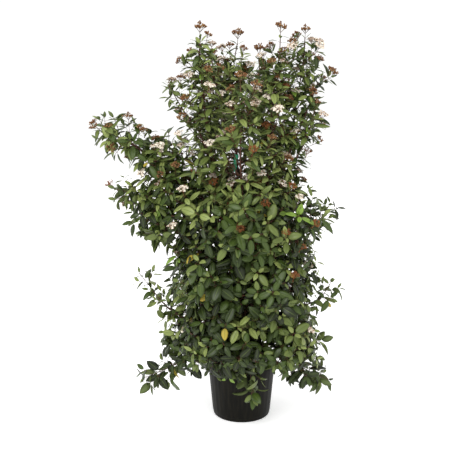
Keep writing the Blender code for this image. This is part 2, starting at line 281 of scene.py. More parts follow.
# Peat and composted bark: matt, almost black when damp, with brown crumbs of about 5 mm.
peat, tree, shader = finish_named("potting_compost", Roughness=0.92, Specular_IOR_Level=0.2)
place = add(tree, "TexCoord")
clods = add(tree, "TexNoise", {"Vector": place.outputs["Object"], "Scale": 210.0, "Detail": 6.0})
tint = add(tree, "Mix", {0: clods.outputs[0], 6: linear("#120c08"), 7: linear("#4a3626")},
           data_type="RGBA")
bump = add(tree, "Bump", {"Height": clods.outputs[0], "Strength": 0.8, "Distance": 0.003})
tree.links.new(tint.outputs[2], shader.inputs["Base Color"])
tree.links.new(bump.outputs["Normal"], shader.inputs["Normal"])
compost = piece_from(bm, "compost_bed", peat)
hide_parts("compost")

bm = bmesh.new()
bmesh.ops.create_icosphere(bm, subdivisions=1, radius=1.0)
crumb = template(bm)
turns, spots = [], []
for _ in range(CRUMBS):
    bearing = rng.uniform(0, math.tau)
    out = (COMPOST_RADIUS - 0.010) * math.sqrt(rng.random())
    size = rng.uniform(*CRUMB_SIZES)
    tumble = Matrix.Rotation(rng.uniform(0, math.tau), 3, (rng.random(), rng.random(), rng.random()))
    turns.append(np.array(tumble) @ np.diag([size, size * rng.uniform(0.4, 0.9), size * 0.5]))
    spots.append((out * math.cos(bearing), out * math.sin(bearing), COMPOST_TOP - 0.0025))
crumbs = joined("bark_crumbs", [placed(crumb, np.array(turns), np.array(spots))], [peat])


# Room for the growth
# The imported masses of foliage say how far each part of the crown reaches. They are laid on a
# fine grid, and blurred to tell the outer growth from the inner and which way is out.
UP = Vector((0.0, 0.0, 1.0))
CELL = 0.015
MARGIN = 0.12
BLUR_REACH = 2
BLUR_PASSES = 3

crown = sorted(name for name in frame["nodes"] if name.startswith("foliage_"))
corner = np.array([min(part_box(name)[0][k] for name in crown) - MARGIN for k in range(3)])
far_corner = np.array([max(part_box(name)[1][k] for name in crown) + MARGIN for k in range(3)])
cells = np.ceil((far_corner - corner) / CELL).astype(int)
mass_at = np.full(cells, -1)


def fill_grid(number, name):
    """Marks the cells inside one mass, column by column, between its top and bottom skins."""
    mesh = frame["nodes"][name].data
    skin = BVHTree.FromPolygons([v.co for v in mesh.vertices], [f.vertices for f in mesh.polygons])
    low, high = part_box(name)
    first = ((np.array(low) - corner) / CELL).astype(int)
    last = ((np.array(high) - corner) / CELL).astype(int)
    for i in range(first[0], last[0] + 1):
        for j in range(first[1], last[1] + 1):
            # A little off the cell's middle, so that no ray runs along a seam of the skin.
            ray = Vector((corner[0] + (i + 0.503) * CELL, corner[1] + (j + 0.497) * CELL,
                          high.z + 0.01))
            heights = []
            while True:
                hit = skin.ray_cast(ray, -UP)[0]
                if hit is None:
                    break
                heights.append(hit.z)
                ray.z = hit.z - 0.00002
            for above, below in zip(heights[::2], heights[1::2]):
                k0 = math.ceil((below - corner[2]) / CELL - 0.5)
                k1 = math.floor((above - corner[2]) / CELL - 0.5)
                mass_at[i, j, k0:k1 + 1] = number


for number, name in enumerate(crown):
    fill_grid(number, name)


def blurred(field, reach, passes):
    """Averages a grid over a cube of cells, a few times, which comes close to a round blur."""
    for _ in range(passes):
        for axis in range(3):
            total = field.copy()
            for step in range(1, reach + 1):
                total += np.roll(field, step, axis) + np.roll(field, -step, axis)
            field = total / (2 * reach + 1)
    return field


fullness = blurred((mass_at >= 0).astype(np.float32), BLUR_REACH, BLUR_PASSES)
slope = np.stack(np.gradient(fullness, CELL), axis=-1)


def cell_of(point):
    """The grid cell that a point lies in."""
    spot = [int((point[k] - corner[k]) / CELL) for k in range(3)]
    return tuple(min(max(s, 0), int(n) - 1) for s, n in zip(spot, cells))


def full_at(point):
    """How full the crown is round a point, from 0 outside to 1 deep inside."""
    return float(fullness[cell_of(point)])


def outward(point):
    """Which way is out of the crown at a point."""
    way = Vector(-slope[cell_of(point)])
    if way.length < 0.5:
        way = Vector((point[0], point[1], 0.02))
    return way.normalized()


# Stems, leaders and boughs
# Seven stems rise from the pot and run on as upright leaders through the spires. Boughs carry
# the left limb, the side sprays and the low sprays that arch over the lip of the pot.
STEP = 0.022
STEM_CUTS = 12
BOUGH_CUTS = 5
LEADER_FLOOR = 0.0017
LIMB_FLOOR = 0.0014
FORK_FLOOR = 0.0020
FORK_RUN_ON = 0.07
STEMS = ("stem_1", "stem_2", "stem_3", "stem_4", "stem_5", "stem_6", "stem_7")
# Where each stem runs on to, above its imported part, as points of its middle line.
LEADERS = {
    "stem_1": ((-0.012, -0.185, 1.180), (-0.006, -0.190, 1.340), (-0.012, -0.190, 1.470)),
    "stem_2": ((0.112, -0.075, 1.080), (0.118, -0.070, 1.250), (0.123, -0.070, 1.410),
               (0.148, -0.070, 1.590), (0.152, -0.070, 1.662)),
    "stem_3": ((0.172, 0.030, 1.060), (0.208, 0.030, 1.240), (0.225, 0.030, 1.350),
               (0.256, 0.030, 1.560), (0.262, 0.030, 1.664)),
    "stem_4": ((0.090, 0.205, 1.150), (0.082, 0.210, 1.380), (0.078, 0.208, 1.575)),
    "stem_5": ((-0.042, 0.035, 1.390), (-0.037, 0.040, 1.545), (-0.022, 0.040, 1.640)),
    "stem_6": ((-0.118, 0.190, 1.150), (-0.125, 0.200, 1.370), (-0.130, 0.198, 1.560)),
    "stem_7": ((-0.100, -0.040, 1.080), (-0.137, -0.048, 1.210), (-0.162, -0.050, 1.400),
               (-0.180, -0.050, 1.560), (-0.178, -0.050, 1.664)),
}
# Each limb's part of the crown, the stem and height that it leaves from, and its middle line.
LIMBS = (
    ("wing", "stem_7", 0.80, ((-0.230, -0.005, 1.000), (-0.330, 0.005, 1.105),
     (-0.430, 0.000, 1.190), (-0.520, -0.008, 1.245), (-0.600, -0.012, 1.270))),
    ("wing", "stem_7", 0.84, ((-0.200, 0.020, 1.020), (-0.300, 0.030, 1.150),
     (-0.360, 0.030, 1.215))),
    ("low_wing", "stem_7", 0.64, ((-0.240, -0.025, 0.800), (-0.345, -0.030, 0.920),
     (-0.440, -0.030, 1.000), (-0.545, -0.032, 1.030))),
    ("flank", "stem_3", 0.92, ((0.215, -0.020, 1.130), (0.270, -0.045, 1.250),
     (0.300, -0.050, 1.365))),
    ("foot", "stem_7", 0.330, ((-0.160, -0.045, 0.330), (-0.250, -0.058, 0.275),
     (-0.340, -0.060, 0.225), (-0.435, -0.062, 0.185))),
    ("foot", "stem_2", 0.330, ((0.160, -0.050, 0.330), (0.240, -0.060, 0.255),
     (0.320, -0.062, 0.205), (0.385, -0.062, 0.180))),
    ("foot", "stem_1", 0.340, ((0.020, -0.175, 0.325), (0.035, -0.205, 0.250),
     (0.050, -0.208, 0.165))),
)
# Each packed bough's stem, the height that it leaves from, and where its spray ends.
SIDE_BOUGHS = (
    ("bough_upper_left", "stem_7", 1.080, (-0.310, -0.020, 1.465)),
    ("bough_upper_right", "stem_3", 1.150, (0.352, -0.020, 1.500)),
    ("bough_right_sprig", "stem_3", 0.620, (0.380, -0.010, 0.965)),
    ("bough_right_tip", "stem_3", 0.380, (0.392, -0.010, 0.610)),
    ("bough_side_branch", "stem_7", 0.300, (-0.450, -0.020, 0.655)),
)
FORKS = tuple(name for name in sorted(frame["nodes"]) if name.startswith("bough_fork_"))


def centre_line(name, cuts):
    """The middle points and the radii of a packed limb, from cuts square to its run."""
    mesh = frame["nodes"][name].data
    points = np.array([v.co for v in mesh.vertices])
    run = np.linalg.svd(points - points.mean(0), full_matrices=False)[2][0]
    run = run if run[2] > 0 else -run
    along = points @ run
    corners = np.array([f.vertices for f in mesh.polygons])
    pairs = corners[:, [0, 1, 1, 2, 2, 0]].reshape(-1, 2)
    near, far = along[pairs[:, 0]], along[pairs[:, 1]]
    middles, radii = [], []
    ends = along.min() + 0.0005, along.max() - 0.0005
    for s in np.linspace(*ends, cuts):
        crossed = (near - s) * (far - s) < 0
        share = ((s - near[crossed]) / (far[crossed] - near[crossed]))[:, None]
        ring = points[pairs[crossed, 0]] * (1 - share) + points[pairs[crossed, 1]] * share
        middles.append(Vector(ring.mean(0)))
        radii.append(float(np.linalg.norm(ring - ring.mean(0), axis=1).mean()))
    return middles, radii


def run_through(points, step):
    """A smooth line through the points, in steps of about the given length."""
    parts = 10
    points = [Vector(p) for p in points]
    knots = [points[0] * 2 - points[1]] + points + [points[-1] * 2 - points[-2]]
    fine = []
    for a, b, c, d in zip(knots, knots[1:], knots[2:], knots[3:]):
        for i in range(parts):
            t = i / parts
            fine.append(0.5 * (2 * b + (c - a) * t + (2 * a - 5 * b + 4 * c - d) * t * t
                               + (3 * b - a - 3 * c + d) * t ** 3))
    fine.append(points[-1])
    return even_steps(fine, step)


def even_steps(line, step):
    """The same line, cut into even steps."""
    xyz = np.array(line)
    along = np.concatenate([[0], np.cumsum(np.linalg.norm(np.diff(xyz, axis=0), axis=1))])
    marks = np.linspace(0, along[-1], max(2, round(along[-1] / step) + 1))
    return [Vector(p) for p in np.stack([np.interp(marks, along, xyz[:, k]) for k in range(3)], 1)]


shoots = []


def grow(path, parent=None, at=0, **facts):
    """Notes a new shoot, whose first point lies on its parent's path, and gives its number.

    leafy is how far leaves reach down from its tip, and floor the least radius of its bark.
    """
    shoots.append({"path": path, "parent": parent, "at": at, "leafy": 0.0, "head": None,
                   "zone": "body", "floor": 0.0, **facts})
    return len(shoots) - 1


def heading_at(path, i):
    """Which way a path runs at one of its points."""
    return (path[min(i + 1, len(path) - 1)] - path[max(i - 1, 0)]).normalized()


stem_number, packed_radii = {}, {}
for name in STEMS:
    middles, radii = centre_line(name, STEM_CUTS)
    path = run_through(middles + [Vector(p) for p in LEADERS[name]], STEP)
    stem_number[name] = grow(path, zone="leader", floor=LEADER_FLOOR)
    packed_radii[stem_number[name]] = (middles, radii)


def nearest_on(number, height):
    """The point of a shoot's path that is nearest to a height."""
    path = shoots[number]["path"]
    return min(range(len(path)), key=lambda i: abs(path[i].z - height))


limb_numbers = []
for zone, stem, height, points in LIMBS:
    number = stem_number[stem]
    at = nearest_on(number, height)
    path = run_through([shoots[number]["path"][at], *points], STEP)
    limb_numbers.append((grow(path, number, at, zone=zone, leafy=0.16, floor=LIMB_FLOOR), zone))
for name, stem, height, tip in SIDE_BOUGHS:
    number = stem_number[stem]
    at = nearest_on(number, height)
    middles = centre_line(name, BOUGH_CUTS)[0]
    path = run_through([shoots[number]["path"][at], *middles, Vector(tip)], STEP)
    bough = grow(path, number, at, zone="spray", leafy=0.14, floor=LIMB_FLOOR)
    limb_numbers.append((bough, "spray"))
for name in FORKS:
    middles = centre_line(name, BOUGH_CUTS)[0]
    near = [((p - middles[0]).length, n, i) for n in stem_number.values()
            for i, p in enumerate(shoots[n]["path"])]
    number, at = min(near)[1:]
    fork_way = (middles[-1] - middles[0]).normalized()
    beyond = middles[-1] + fork_way * FORK_RUN_ON + UP * 0.01
    path = run_through([shoots[number]["path"][at], *middles[1:], beyond], STEP)
    grow(path, number, at, floor=FORK_FLOOR)


# Side shoots of the leaders and limbs
# A laurustinus shoots in opposite pairs, each pair a quarter turn from the one below. Shoots
# leave at about 45 degrees, turn up to the light and end in a head of flowers or young leaves.
SHOOTS_START = 0.98
SUB_START = 0.035
SUB_STOP = 0.025
SUB_GAP = 0.036
SUB_LENGTH_SHARE = 0.42
SUB_SPREAD_SHARE = 0.95
WANDER = 0.05


def sway(amount):
    """A small random offset."""
    return Vector((rng.gauss(0, amount), rng.gauss(0, amount), rng.gauss(0, amount)))


def free_run(start, heading, length, lift, least):
    """A shoot's path, which turns towards the light and stops where the crown ends."""
    path = [start]
    for i in range(max(2, round(length / STEP))):
        heading = (heading + UP * lift + sway(WANDER)).normalized()
        ahead = path[-1] + heading * STEP
        if full_at(ahead) < least and i > 1:
            break
        path.append(ahead)
    return path


def paired_shoots(number, start, stop, gap, length, spread, lift, least, zone, subs):
    """Grows opposite pairs of side shoots along a shoot, from one length along it to another."""
    path = shoots[number]["path"]
    quarter, along, mark = rng.uniform(0, math.pi), 0.0, start
    first = Vector((rng.uniform(-1, 1), rng.uniform(-1, 1), 0.3))
    total = sum((b - a).length for a, b in zip(path, path[1:]))
    for i in range(1, len(path)):
        along += (path[i] - path[i - 1]).length
        if along < mark or along > total - stop:
            continue
        run = heading_at(path, i)
        side = (first - run * first.dot(run)).normalized()
        across = run.cross(side)
        quarter += math.pi / 2 + rng.uniform(-0.3, 0.3)
        share = (along - start) / max(0.01, total - stop - start)
        mark = along + gap * (1.25 - 0.5 * share) * rng.uniform(0.8, 1.2)
        for half in (0.0, math.pi):
            turn = quarter + half + rng.uniform(-0.25, 0.25)
            way = side * math.cos(turn) + across * math.sin(turn)
            angle = math.radians(spread * rng.uniform(0.85, 1.15))
            ahead = run * math.cos(angle) + way * math.sin(angle)
            reach = length * (1 - 0.32 * share) * rng.uniform(0.65, 1.2)
            shoot = free_run(path[i], ahead, reach, lift, least)
            if len(shoot) < 3:
                continue
            made = grow(shoot, number, i, zone=zone, leafy=reach)
            if subs and len(shoot) > 4:
                paired_shoots(made, SUB_START, SUB_STOP, SUB_GAP, length * SUB_LENGTH_SHARE,
                              spread * SUB_SPREAD_SHARE, lift, least, zone, False)


# For each kind of limb: where its shoots start, how far below its tip they stop, the gap between
# pairs, their length, their angle, how they lift to the light, how full a place they need, and
# whether they branch again. Leaders start theirs above the dense body of the crown.
LEADER_SHOOTS = (0.095, 0.044, 0.145, 46, 0.11, 0.10, "spire", True)
LIMB_SHOOTS = {
    "wing": (0.20, 0.04, 0.038, 0.130, 52, 0.05, 0.07, True),
    "low_wing": (0.20, 0.04, 0.038, 0.120, 52, 0.04, 0.07, True),
    "flank": (0.16, 0.05, 0.044, 0.090, 50, 0.08, 0.12, False),
    "foot": (0.13, 0.04, 0.046, 0.080, 58, 0.00, 0.07, False),
    "spray": (0.22, 0.04, 0.032, 0.075, 50, 0.06, 0.05, False),
}
for name in STEMS:
    path = shoots[stem_number[name]]["path"]
    below = sum((b - a).length for a, b in zip(path, path[1:]) if b.z < SHOOTS_START)
    shoots[stem_number[name]]["leafy"] = 0.13
    paired_shoots(stem_number[name], below, *LEADER_SHOOTS)
for number, zone in limb_numbers:
    start, stop, gap, length, spread, lift, least, subs = LIMB_SHOOTS[zone]
    paired_shoots(number, start, stop, gap, length, spread, lift, least, zone, subs)


# Shoots of the body
# The dense lower crown: shoots that branch from the stems and from each other towards the light,
# close together in the outer growth, sparse inside it, and sparser where the spires begin.
OUTER_GAP = 0.050
INNER_GAP = 0.085
BODY_TRIES = 9000
OPEN_ABOVE = 1.05
OPENING = 1.5
OUTER_FULLNESS = 0.80
HOLLOW_RADIUS = 0.06
BRANCH_FROM = 0.275
BRANCH_TO = 1.25
LEAST_SPAN = 0.045
LONGEST_SPAN = 0.45
COST_OF_DESCENT = 0.9
COST_OF_TURNING = 0.5
ARCH_BELOW = 0.62
ARCH_DEPTH = 0.35
BODY_ZONES = ("skirt", "waist", "shoulder", "collar", "right_flank", "wing_root", "low_wing_root")

body_numbers = [i for i, name in enumerate(crown)
                if any(name.startswith("foliage_" + zone) for zone in BODY_ZONES)]
draw = np.random.RandomState(SEED)
open_cells = np.argwhere(np.isin(mass_at, body_numbers))
picked = open_cells[draw.permutation(len(open_cells))[:BODY_TRIES]]
candidates = corner + (picked + draw.uniform(0.1, 0.9, picked.shape)) * CELL
tips = np.empty((0, 3))
for cell, point in zip(picked, candidates):
    inner = fullness[tuple(cell)] > OUTER_FULLNESS
    gap = (INNER_GAP if inner else OUTER_GAP) * (1.0 + OPENING * (point[2] > OPEN_ABOVE))
    if inner and math.hypot(point[0], point[1]) < HOLLOW_RADIUS:
        continue
    if len(tips) and np.min(np.linalg.norm(tips - point, axis=1)) < gap:
        continue
    tips = np.vstack([tips, point])

# The points that new shoots may branch from, at first those of the stems, limbs and boughs.
marks = []
for number, shoot in enumerate(shoots):
    bare = [i for i, p in enumerate(shoot["path"][:-4]) if BRANCH_FROM < p.z < BRANCH_TO]
    if bare and shoot["floor"] > 0:
        marks += [(number, i) for i in range(bare[0], bare[-1] + 1)]
spots = np.array([shoots[number]["path"][i] for number, i in marks])
runs = np.array([heading_at(shoots[number]["path"], i) for number, i in marks])

stem_points = np.array([p for n in stem_number.values() for p in shoots[n]["path"]])
reach = [np.min(np.linalg.norm(stem_points - tip, axis=1)) for tip in tips]
for order in np.argsort(reach):
    tip = Vector(tips[order])
    out = outward(tip)
    low = min(1.0, max(0.0, (ARCH_BELOW - tip.z) / ARCH_DEPTH))
    rise = (out * 0.7 + UP * (0.75 - 0.85 * low)).normalized()
    gaps = np.array(tip) - spots
    lengths = np.linalg.norm(gaps, axis=1)
    ways = gaps / np.maximum(lengths, 1e-6)[:, None]
    cost = lengths * (1 + COST_OF_DESCENT * (1 - ways @ np.array(rise))
                      + COST_OF_TURNING * (1 - np.einsum("ij,ij->i", ways, runs)))
    cost[lengths < LEAST_SPAN] = math.inf
    best = int(np.argmin(cost))
    start, run = Vector(spots[best]), Vector(runs[best])
    span = (tip - start).length
    if span > LONGEST_SPAN:
        continue
    ahead = (run * 0.45 + (tip - start).normalized()).normalized()
    curl = (rise + sway(0.15)).normalized()
    line = [start * (1 - t) ** 3 + (start + ahead * span * 0.36) * 3 * t * (1 - t) ** 2
            + (tip - curl * span * 0.36) * 3 * t * t * (1 - t) + tip * t ** 3
            for t in (i / 12 for i in range(13))]
    path = even_steps(line, STEP)
    path = [p if i == 0 else p + sway(0.0012) for i, p in enumerate(path)]
    number, at = marks[best]
    zone = "body" if tip.z < OPEN_ABOVE + rng.uniform(-0.10, 0.02) else "spire"
    leafy = 0.150 if full_at(tip) < OUTER_FULLNESS else 0.09
    made = grow(path, number, at, zone=zone, leafy=leafy)
    branching = range(1, max(1, len(path) - 4) + 1)
    spots = np.vstack([spots, [path[i] for i in branching]])
    runs = np.vstack([runs, [heading_at(path, i) for i in branching]])
    marks += [(made, i) for i in branching]


# Bark
# The stems are as thick as they are packed, and each branch as thick as the shoots above it need.
# Old stems are fissured grey-brown, and the leaders and young twigs smooth and dark red-brown.
TWIG_RADIUS = 0.00085
LEAST_RADIUS = 0.0006
THICK = 0.0024
BRANCHING_POWER = 2.35
BRANCH_SHARE = 0.85
LEADER_HEIGHTS = (1.10, 1.40, 1.66)
LEADER_RADII = (0.0040, 0.0030, 0.0019)
RELIEF = 0.00045
RIDGES_ACROSS = 330
RIDGES_ALONG = 70
KNOTS_ACROSS = 14
KNOTS_ALONG = 44
YOUNG_ABOVE = 1.0

for shoot in shoots:
    shoot["load"] = np.zeros(len(shoot["path"]))
for shoot in reversed(shoots):
    ahead = np.cumsum(shoot["load"][::-1])[::-1] + TWIG_RADIUS ** BRANCHING_POWER
    radii = ahead ** (1 / BRANCHING_POWER)
    shoot["radii"] = np.maximum(radii, shoot["floor"])
    if shoot["parent"] is not None:
        shoots[shoot["parent"]]["load"][:shoot["at"] + 1] += radii[0] ** BRANCHING_POWER
for number, (middles, radii) in packed_radii.items():
    above = [i for i, height in enumerate(LEADER_HEIGHTS) if height > middles[-1].z + 0.01]
    known_heights = [middles[0].z, middles[-1].z] + [LEADER_HEIGHTS[i] for i in above]
    known_radii = [radii[1], radii[-2]] + [LEADER_RADII[i] for i in above]
    heights = [p.z for p in shoots[number]["path"]]
    shoots[number]["radii"] = np.interp(heights, known_heights, known_radii)
    shoots[number]["radii"][:2] *= (1.35, 1.12)
for shoot in shoots:
    if shoot["parent"] is not None:
        room = shoots[shoot["parent"]]["radii"][shoot["at"]] * BRANCH_SHARE
        shoot["radii"] = np.minimum(shoot["radii"], max(room, LEAST_RADIUS))


def tubes(name, group, step, roundness, finish):
    """Round limbs along the paths of a group of shoots, as one mesh."""
    data = bpy.data.curves.new(name, "CURVE")
    data.dimensions = "3D"
    data.bevel_depth = 1.0
    data.bevel_resolution = roundness
    data.use_fill_caps = True
    for shoot in group:
        path = even_steps(run_through(shoot["path"], step), step)
        share = np.linspace(0, 1, len(path))
        radii = np.interp(share, np.linspace(0, 1, len(shoot["radii"])), shoot["radii"])
        line = data.splines.new("POLY")
        line.points.add(len(path) - 1)
        line.points.foreach_set("co", np.array([(*p, 1.0) for p in path], np.float32).ravel())
        line.points.foreach_set("radius", radii.astype(np.float32))
    curve = linked(name, data)
    mesh = settled(curve)
    bpy.data.objects.remove(curve)
    mesh.materials.clear()
    mesh.materials.append(finish)
    mesh.polygons.foreach_set("use_smooth", np.full(len(mesh.polygons), True))
    piece = linked(name, mesh)
    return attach(piece, "root")


def bark_finish(name, dark, light, crack, scale, rough):
    """Bark with streaks along the stem, cracks or lenticels, and fine relief."""
    made, tree, shader = finish_named(name, Roughness=rough, Specular_IOR_Level=0.3)
    place = add(tree, "TexCoord")
    long_way = add(tree, "Mapping", {"Vector": place.outputs["Object"], "Scale": (1.0, 1.0, 0.22)})
    fibres = add(tree, "TexNoise", {"Vector": long_way.outputs["Vector"], "Scale": scale,
                                    "Detail": 5.0, "Roughness": 0.6})
    spread = add(tree, "MapRange", {"Value": fibres.outputs[0], "From Min": 0.32, "From Max": 0.7})
    tint = add(tree, "Mix", {0: spread.outputs[0], 6: linear(dark), 7: linear(light)},
               data_type="RGBA")
    spots = add(tree, "TexVoronoi", {"Vector": place.outputs["Object"], "Scale": scale * 0.9})
    pit = add(tree, "MapRange", {"Value": spots.outputs["Distance"], "From Min": 0.10,
                                 "From Max": 0.22})
    marked = add(tree, "Mix", {0: pit.outputs[0], 6: linear(crack), 7: tint.outputs[2]},
                 data_type="RGBA")
    bump = add(tree, "Bump", {"Height": fibres.outputs[0], "Strength": 0.6, "Distance": 0.0012})
    tree.links.new(marked.outputs[2], shader.inputs["Base Color"])
    tree.links.new(bump.outputs["Normal"], shader.inputs["Normal"])
    return made


# Woody bark: the old is rough and matt with fibres 2.4 mm apart, the young smoother with fibres
# 1.4 mm apart, both with pale pits. Ridges and leaf scars stand up to half a millimetre proud on
# the thick limbs, so they are mesh there and not only bump.
old_bark = bark_finish("fissured_brown_bark", "#2a1c14", "#6b5040", "#8a7462", 420.0, 0.85)
young_bark = bark_finish("red_brown_twig_bark", "#33201a", "#603e2e", "#8f6a50", 700.0, 0.6)
thick = [s for s in shoots if max(s["radii"]) >= THICK]
thin = [s for s in shoots if max(s["radii"]) < THICK]
stems = tubes("stems_and_boughs", thick, 0.0075, 2, old_bark)
stems.data.materials.append(young_bark)
skin = [(v.co.copy(), v.normal.copy()) for v in stems.data.vertices]
for v, (spot, way) in zip(stems.data.vertices, skin):
    ridge_spot = (spot.x * RIDGES_ACROSS, spot.y * RIDGES_ACROSS, spot.z * RIDGES_ALONG)
    knot_spot = (spot.x * KNOTS_ACROSS, spot.y * KNOTS_ACROSS, spot.z * KNOTS_ALONG + 7)
    ridge = noise.noise(Vector(ridge_spot))
    knot = max(0.0, noise.noise(Vector(knot_spot)) - 0.25)
    v.co = spot + way * (ridge * RELIEF * 0.6 + knot * RELIEF * 2.2)
for face in stems.data.polygons:
    turns_young = YOUNG_ABOVE + 0.12 * noise.noise(face.center * 9)
    face.material_index = 1 if face.center.z > turns_young else 0
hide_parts(*STEMS, *FORKS, *[name for name, *_ in SIDE_BOUGHS])
twigs = tubes("twigs", thin, STEP, 0, young_bark)


# Nursery tie
# A short length of soft green plastic tape that growers put round a stem by hand. It makes one
# loop round the middle leader, and its free end hangs down in front with a slight twist.
TIE_HEIGHT = 1.168
LOOP_RADIUS = 0.0095
LOOP_TAPER = 0.0007
TAPE_WIDTH = 0.016
TAPE_THICKNESS = 0.0005
TAIL_LENGTH = 0.068
TAIL_FRONT = 0.0115
TAIL_BELLY = 0.010

middle_leader = stem_number["stem_5"]
tie_spot = shoots[middle_leader]["path"][nearest_on(middle_leader, TIE_HEIGHT)]
bm = bmesh.new()
loop_place = Matrix.Translation(tie_spot + Vector((0, -0.002, 0.004)))
bmesh.ops.create_cone(bm, cap_ends=False, segments=24, radius1=LOOP_RADIUS,
                      radius2=LOOP_RADIUS - LOOP_TAPER, depth=TAPE_WIDTH, matrix=loop_place)
tail = bmesh.ops.create_grid(bm, x_segments=2, y_segments=12, size=0.5)["verts"]
for v in tail:
    across, down = v.co.x * TAPE_WIDTH, 0.5 - v.co.y
    twist = 0.10 + 0.35 * down
    sideways = -0.002 + across * math.cos(twist) - 0.008 * down
    forwards = -TAIL_FRONT - TAIL_BELLY * math.sin(2.2 * down) - across * math.sin(twist)
    v.co = tie_spot + Vector((sideways, forwards, 0.006 - TAIL_LENGTH * down))
bmesh.ops.recalc_face_normals(bm, faces=bm.faces)
bmesh.ops.solidify(bm, geom=bm.faces[:], thickness=TAPE_THICKNESS)

# Soft PVC tape: a satin face with fine ribs along it from the extruder.
tape, tree, shader = finish_named("soft_green_tie_tape", Roughness=0.45, IOR=1.53)
place = add(tree, "TexCoord")
ribs = add(tree, "TexWave", {"Vector": place.outputs["Object"], "Scale": 160.0, "Distortion": 1.5})
tint = add(tree, "Mix", {0: ribs.outputs[0], 6: linear("#33b57c"), 7: linear("#4cc796")},
           data_type="RGBA")
bump = add(tree, "Bump", {"Height": ribs.outputs[0], "Strength": 0.3, "Distance": 0.0004})
tree.links.new(tint.outputs[2], shader.inputs["Base Color"])
tree.links.new(bump.outputs["Normal"], shader.inputs["Normal"])
tie = piece_from(bm, "nursery_tie", tape)


# Leaves
# Laurustinus leaves are leathery and evergreen, in opposite pairs, oval with a short point,
# dark green and softly glossy above, paler below, folded a little along a pale midrib.
LENGTH_ROWS = (0.0, 0.10, 0.27, 0.46, 0.66, 0.84, 1.0)
TOP_COLUMNS = (-1.0, -0.52, -0.045, 0.045, 0.52, 1.0)
UNDER_COLUMNS = (-1.0, 0.0, 1.0)
LEAF_THICKNESS = 0.0007
LEAF_STALK_RADIUS = 0.0008
LEAF_STALK_SHARE = 0.16
WIDEST = 0.3885
TROUGH = 0.25
WAVE_HEIGHT = 0.35
WAVES_ALONG = 9.0
TOP, RIB, UNDER, STALK = range(4)


def outline(t):
    """Half width of a leaf blade at a share of its length, 1 at its widest."""
    return np.power(t, 0.66) * np.power(1 - t, 0.88) / WIDEST


def blade_grid(bm, columns, level, slots):
    """One skin of the flat leaf: columns across, rows along, drawn in to the outline."""
    made = bmesh.ops.create_grid(bm, x_segments=len(LENGTH_ROWS) - 1,
                                 y_segments=len(columns) - 1, size=1.0)["verts"]
    xs = sorted({round(v.co.x, 4) for v in made})
    ys = sorted({round(v.co.y, 4) for v in made})
    for face in {f for v in made for f in v.link_faces}:
        middle = face.calc_center_median().y
        face.material_index = slots[sum(middle > y for y in ys[1:-1])]
    for v in made:
        t = LENGTH_ROWS[xs.index(round(v.co.x, 4))]
        u = columns[ys.index(round(v.co.y, 4))]
        v.co = (t, u * outline(t), level * (1 - abs(u)) * outline(t))


def leaf_template():
    """The flat leaf, with its place along, across and through kept as point coordinates."""
    bm = bmesh.new()
    blade_grid(bm, TOP_COLUMNS, 0.0, (TOP, TOP, RIB, TOP, TOP))
    blade_grid(bm, UNDER_COLUMNS, -1.0, (UNDER, UNDER))
    bmesh.ops.remove_doubles(bm, verts=bm.verts, dist=0.00005)
    bmesh.ops.recalc_face_normals(bm, faces=bm.faces)
    along = Matrix.Rotation(math.pi / 2, 4, "Y")
    stalk = bmesh.ops.create_cone(bm, cap_ends=False, segments=3, radius1=1.0, radius2=1.0,
                                  depth=1.0, matrix=Matrix.Translation((-1.5, 0, 0)) @ along)
    for face in {f for v in stalk["verts"] for f in v.link_faces}:
        face.material_index = STALK
    return template(bm)


leaf = leaf_template()
leaf_t = leaf["points"][:, 0]
with np.errstate(invalid="ignore", divide="ignore"):
    leaf_u = np.where(outline(np.clip(leaf_t, 0, 1)) > 1e-6,
                      leaf["points"][:, 1] / outline(np.clip(leaf_t, 0.0001, 0.9999)), 0.0)
on_stalk = leaf_t < 0

# How leaves sit in each part of the crown: length and its spread, width, angle from the shoot,
# droop, and how far the upper face turns to the shoot's tip, to the sky and out of the crown.
LEAF_HABIT = {
    "body": (0.059, 0.17, 0.60, 68, 0.16, 0.5, 0.42, 0.75),
    "spire": (0.054, 0.18, 0.45, 62, 0.08, 0.25, 0.80, 0.45),
    "leader": (0.046, 0.15, 0.40, 70, 0.05, 0.2, 1.0, 0.15),
    "wing": (0.060, 0.16, 0.50, 62, 0.15, 0.3, 0.7, 0.50),
    "low_wing": (0.060, 0.16, 0.50, 62, 0.15, 0.3, 0.7, 0.50),
    "flank": (0.050, 0.16, 0.45, 62, 0.15, 0.3, 0.7, 0.35),
    "foot": (0.066, 0.14, 0.56, 62, 0.38, 0.4, 0.3, 0.80),
    "spray": (0.050, 0.20, 0.48, 58, 0.15, 0.3, 0.6, 0.50),
}
# How far below a shoot's tip each pair of leaves stands, and the size of each pair.
PAIR_MARKS = {
    "body": (0.003, 0.012, 0.042, 0.074, 0.106, 0.136),
    "spire": (0.004, 0.014, 0.036, 0.058, 0.082, 0.108),
    "leader": (0.006, 0.020, 0.046, 0.072, 0.100, 0.128),
    "wing": (0.003, 0.014, 0.042, 0.072, 0.104, 0.136),
    "low_wing": (0.003, 0.014, 0.042, 0.072, 0.104, 0.136),
    "flank": (0.003, 0.014, 0.042, 0.072, 0.104),
    "foot": (0.003, 0.012, 0.044, 0.078, 0.112, 0.146),
    "spray": (0.003, 0.014, 0.042, 0.072, 0.104),
}
PAIR_SIZES = (0.62, 0.95, 1.05, 1.0, 0.95, 0.9)
LEAVES_MISSING = 0.04
BENDS = (0.15, 0.95)
FOLDS = (0.10, 0.50)
WAVES = (0.0, 0.30)
DROOP_BELOW = 0.70
DROOP_DEPTH = 0.45
